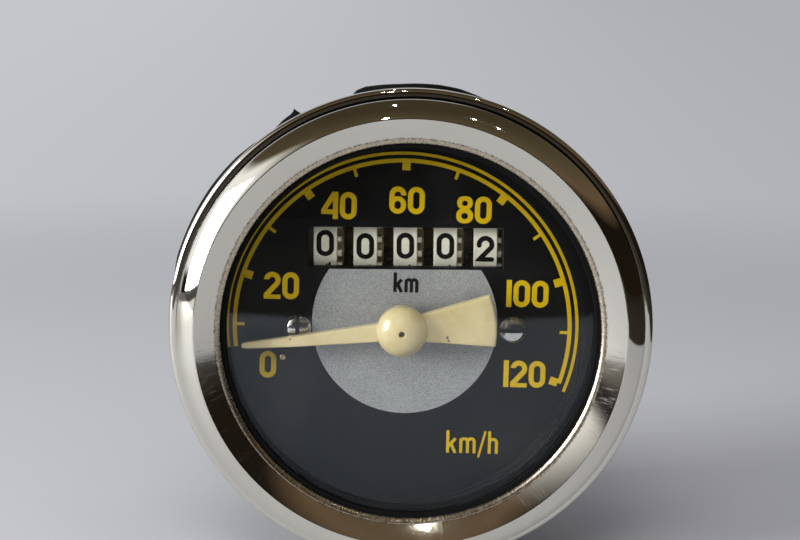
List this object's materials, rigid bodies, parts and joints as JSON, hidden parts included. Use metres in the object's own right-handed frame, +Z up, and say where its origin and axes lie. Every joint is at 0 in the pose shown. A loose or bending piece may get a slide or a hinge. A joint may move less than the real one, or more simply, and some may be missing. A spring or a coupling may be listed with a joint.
{
  "type": "speedometer",
  "caption": "Round chrome-rimmed cable-driven speedometer with a cream pointer over a black dial, a drum odometer and a threaded cable boss behind.",
  "frame": {"origin": "centre of the outside of the case's flat back, between the two mounting studs", "axes": "+Y out of the back along the cable drive, +Z up the dial, +X to the right as the dial is read"},
  "size_m": [0.0832, 0.0776, 0.0839],
  "materials": {
    "black_paint": "gloss black enamel",
    "chrome": "polished plating",
    "clear_glass": "clear and polished",
    "black_rubber": "satin moulded rubber",
    "black_plastic": "matte moulding",
    "zinc_steel": "bright zinc plate",
    "dial_black": "satin black print on sheet",
    "brass": "machined",
    "cast_alloy": "die-cast, turned where it fits",
    "sheet_alloy": "pressed sheet",
    "cream_plastic": "gloss cream paint on a moulding",
    "white_plastic": "satin white moulding with black figures",
    "plated_sheet": "plated steel sheet",
    "ground_steel": "ground shaft steel",
    "magnet": "bare cast magnet alloy",
    "bronze": "sintered bearing bronze",
    "spring_bronze": "rolled strip"
  },
  "bodies": {
    "housing": {"case_shell": "black_paint", "bezel_ring": "chrome", "glass_lens": "clear_glass", "lens_seal": "black_rubber", "spacer_ring": "black_plastic", "panel_gasket": "black_rubber", "mounting_studs": "zinc_steel", "dial_plate": "dial_black", "dial_screws": "zinc_steel", "zero_stop_pin": "brass", "dial_pillars": "brass", "bridge_plate": "sheet_alloy", "bridge_pillars": "brass", "bridge_screws": "zinc_steel", "base_plate": "cast_alloy", "drive_boss": "cast_alloy", "spindle_bush": "bronze", "boss_nut": "zinc_steel", "boss_washer": "zinc_steel", "staff_bush": "bronze", "hairspring_stud": "brass", "cross_bearings": "brass", "left_bracket": "plated_sheet", "right_bracket": "plated_sheet", "pinion_shaft": "ground_steel", "bracket_screws": "zinc_steel"},
    "spindle": {"drive_spindle": "ground_steel", "spindle_worm": "ground_steel", "magnet_ring": "magnet", "field_cup": "plated_sheet"},
    "cross": {"cross_shaft": "ground_steel", "cross_gear": "brass", "cross_worm": "ground_steel"},
    "lay": {"lay_shaft": "ground_steel", "lay_gear": "brass", "lay_worm": "ground_steel"},
    "needle": {"pointer": "cream_plastic", "pointer_staff": "ground_steel", "drag_cup": "sheet_alloy", "hairspring_collet": "brass", "hairspring": "spring_bronze"},
    "units": {"drum_units": "white_plastic", "drum_drive_wheel": "brass", "drum_shaft": "ground_steel"},
    "tens": {"drum_tens": "white_plastic"},
    "hundreds": {"drum_hundreds": "white_plastic"},
    "thousands": {"drum_thousands": "white_plastic"},
    "ten_thousands": {"drum_ten_thousands": "white_plastic"},
    "carry_1": {"carry_pinion_1": "white_plastic"},
    "carry_2": {"carry_pinion_2": "white_plastic"},
    "carry_3": {"carry_pinion_3": "white_plastic"},
    "carry_4": {"carry_pinion_4": "white_plastic"}
  },
  "joints": [
    {"name": "spindle_spin", "type": "hinge", "parent": "housing", "child": "spindle", "pos_m": [-0.00147, 0, -0.00064], "axis": [0, 1, 0], "continuous": true},
    {"name": "cross_spin", "type": "hinge", "parent": "housing", "child": "cross", "pos_m": [-0.00147, -0.0088, -0.00686], "axis": [1, 0, 0], "continuous": true},
    {"name": "lay_spin", "type": "hinge", "parent": "housing", "child": "lay", "pos_m": [0.02003, 0, 0.00384], "axis": [0, 1, 0], "continuous": true},
    {"name": "units_spin", "type": "hinge", "parent": "housing", "child": "units", "pos_m": [-0.00147, -0.0382, 0.01364], "axis": [-1, 0, 0], "continuous": true},
    {"name": "tens_spin", "type": "hinge", "parent": "housing", "child": "tens", "pos_m": [-0.00147, -0.0382, 0.01364], "axis": [-1, 0, 0], "continuous": true},
    {"name": "carry_1_spin", "type": "hinge", "parent": "housing", "child": "carry_1", "pos_m": [-0.00147, -0.03108, 0.02213], "axis": [-1, 0, 0], "continuous": true},
    {"name": "hundreds_spin", "type": "hinge", "parent": "housing", "child": "hundreds", "pos_m": [-0.00147, -0.0382, 0.01364], "axis": [-1, 0, 0], "continuous": true},
    {"name": "carry_2_spin", "type": "hinge", "parent": "housing", "child": "carry_2", "pos_m": [-0.00147, -0.03108, 0.02213], "axis": [-1, 0, 0], "continuous": true},
    {"name": "thousands_spin", "type": "hinge", "parent": "housing", "child": "thousands", "pos_m": [-0.00147, -0.0382, 0.01364], "axis": [-1, 0, 0], "continuous": true},
    {"name": "carry_3_spin", "type": "hinge", "parent": "housing", "child": "carry_3", "pos_m": [-0.00147, -0.03108, 0.02213], "axis": [-1, 0, 0], "continuous": true},
    {"name": "ten_thousands_spin", "type": "hinge", "parent": "housing", "child": "ten_thousands", "pos_m": [-0.00147, -0.0382, 0.01364], "axis": [-1, 0, 0], "continuous": true},
    {"name": "carry_4_spin", "type": "hinge", "parent": "housing", "child": "carry_4", "pos_m": [-0.00147, -0.03108, 0.02213], "axis": [-1, 0, 0], "continuous": true},
    {"name": "pointer_swing", "type": "hinge", "parent": "housing", "child": "needle", "pos_m": [-0.00147, 0, -0.00064], "axis": [0, 1, 0], "range_deg": [-3.3, 206], "stiffness_Nm_per_rad": 0.0002, "deforming": ["hairspring"]}
  ],
  "couplings": [
    {"joint": "cross_spin", "follows": "spindle_spin", "ratio": 0.066667},
    {"joint": "lay_spin", "follows": "spindle_spin", "ratio": 0.0026667},
    {"joint": "units_spin", "follows": "spindle_spin", "ratio": 0.00013333},
    {"joint": "tens_spin", "follows": "spindle_spin", "ratio": 0.000013333},
    {"joint": "carry_1_spin", "follows": "spindle_spin", "ratio": -0.000033333},
    {"joint": "hundreds_spin", "follows": "spindle_spin", "ratio": 0.0000013333},
    {"joint": "carry_2_spin", "follows": "spindle_spin", "ratio": -0.0000033333},
    {"joint": "thousands_spin", "follows": "spindle_spin", "ratio": 0.00000013333},
    {"joint": "carry_3_spin", "follows": "spindle_spin", "ratio": -0.00000033333},
    {"joint": "ten_thousands_spin", "follows": "spindle_spin", "ratio": 0.000000013333},
    {"joint": "carry_4_spin", "follows": "spindle_spin", "ratio": -0.000000033333}
  ]
}
